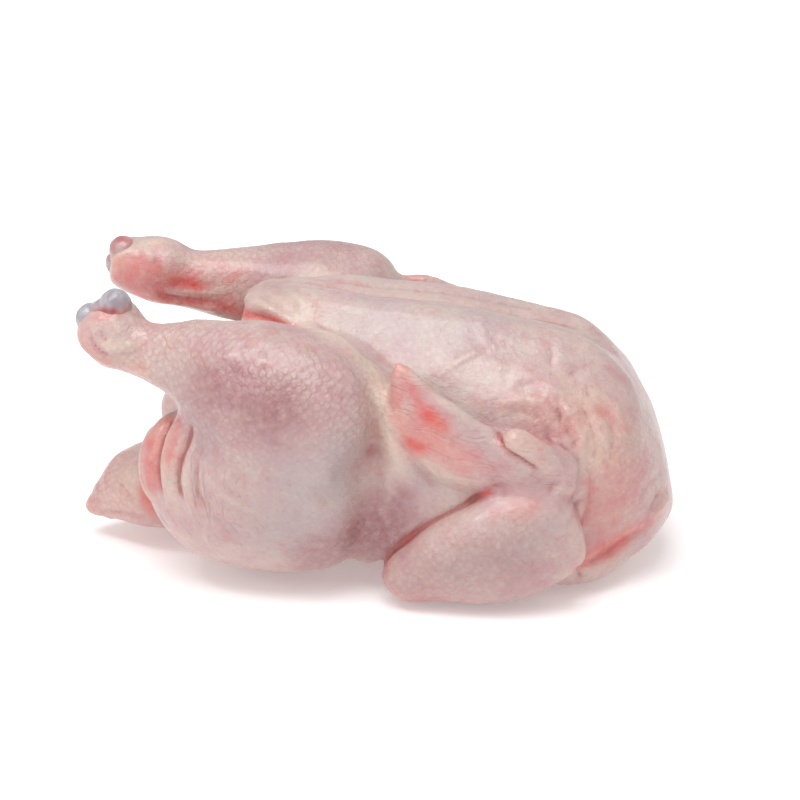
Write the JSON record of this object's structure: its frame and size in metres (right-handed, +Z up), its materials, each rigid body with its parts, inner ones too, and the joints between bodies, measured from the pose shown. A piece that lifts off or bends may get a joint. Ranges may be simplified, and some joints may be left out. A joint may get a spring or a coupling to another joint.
{
  "type": "whole raw chicken",
  "caption": "Plucked and drawn whole raw chicken lying on its back, drumsticks raised, wings folded against the flanks, hollow open between the legs.",
  "frame": {"origin": "middle of the bounding box at the surface the bird rests on", "axes": "+X from the tail towards the neck, +Y to the bird's side away from the viewer of the picture, +Z up through the breast"},
  "size_m": [0.2642, 0.1696, 0.1303],
  "materials": {
    "raw_skin": "damp satin, pale pink",
    "gristle": "wet bluish white"
  },
  "bodies": {
    "root": {"chicken": "raw_skin", "shank_end_near": "gristle", "shank_end_far": "gristle"}
  },
  "joints": []
}
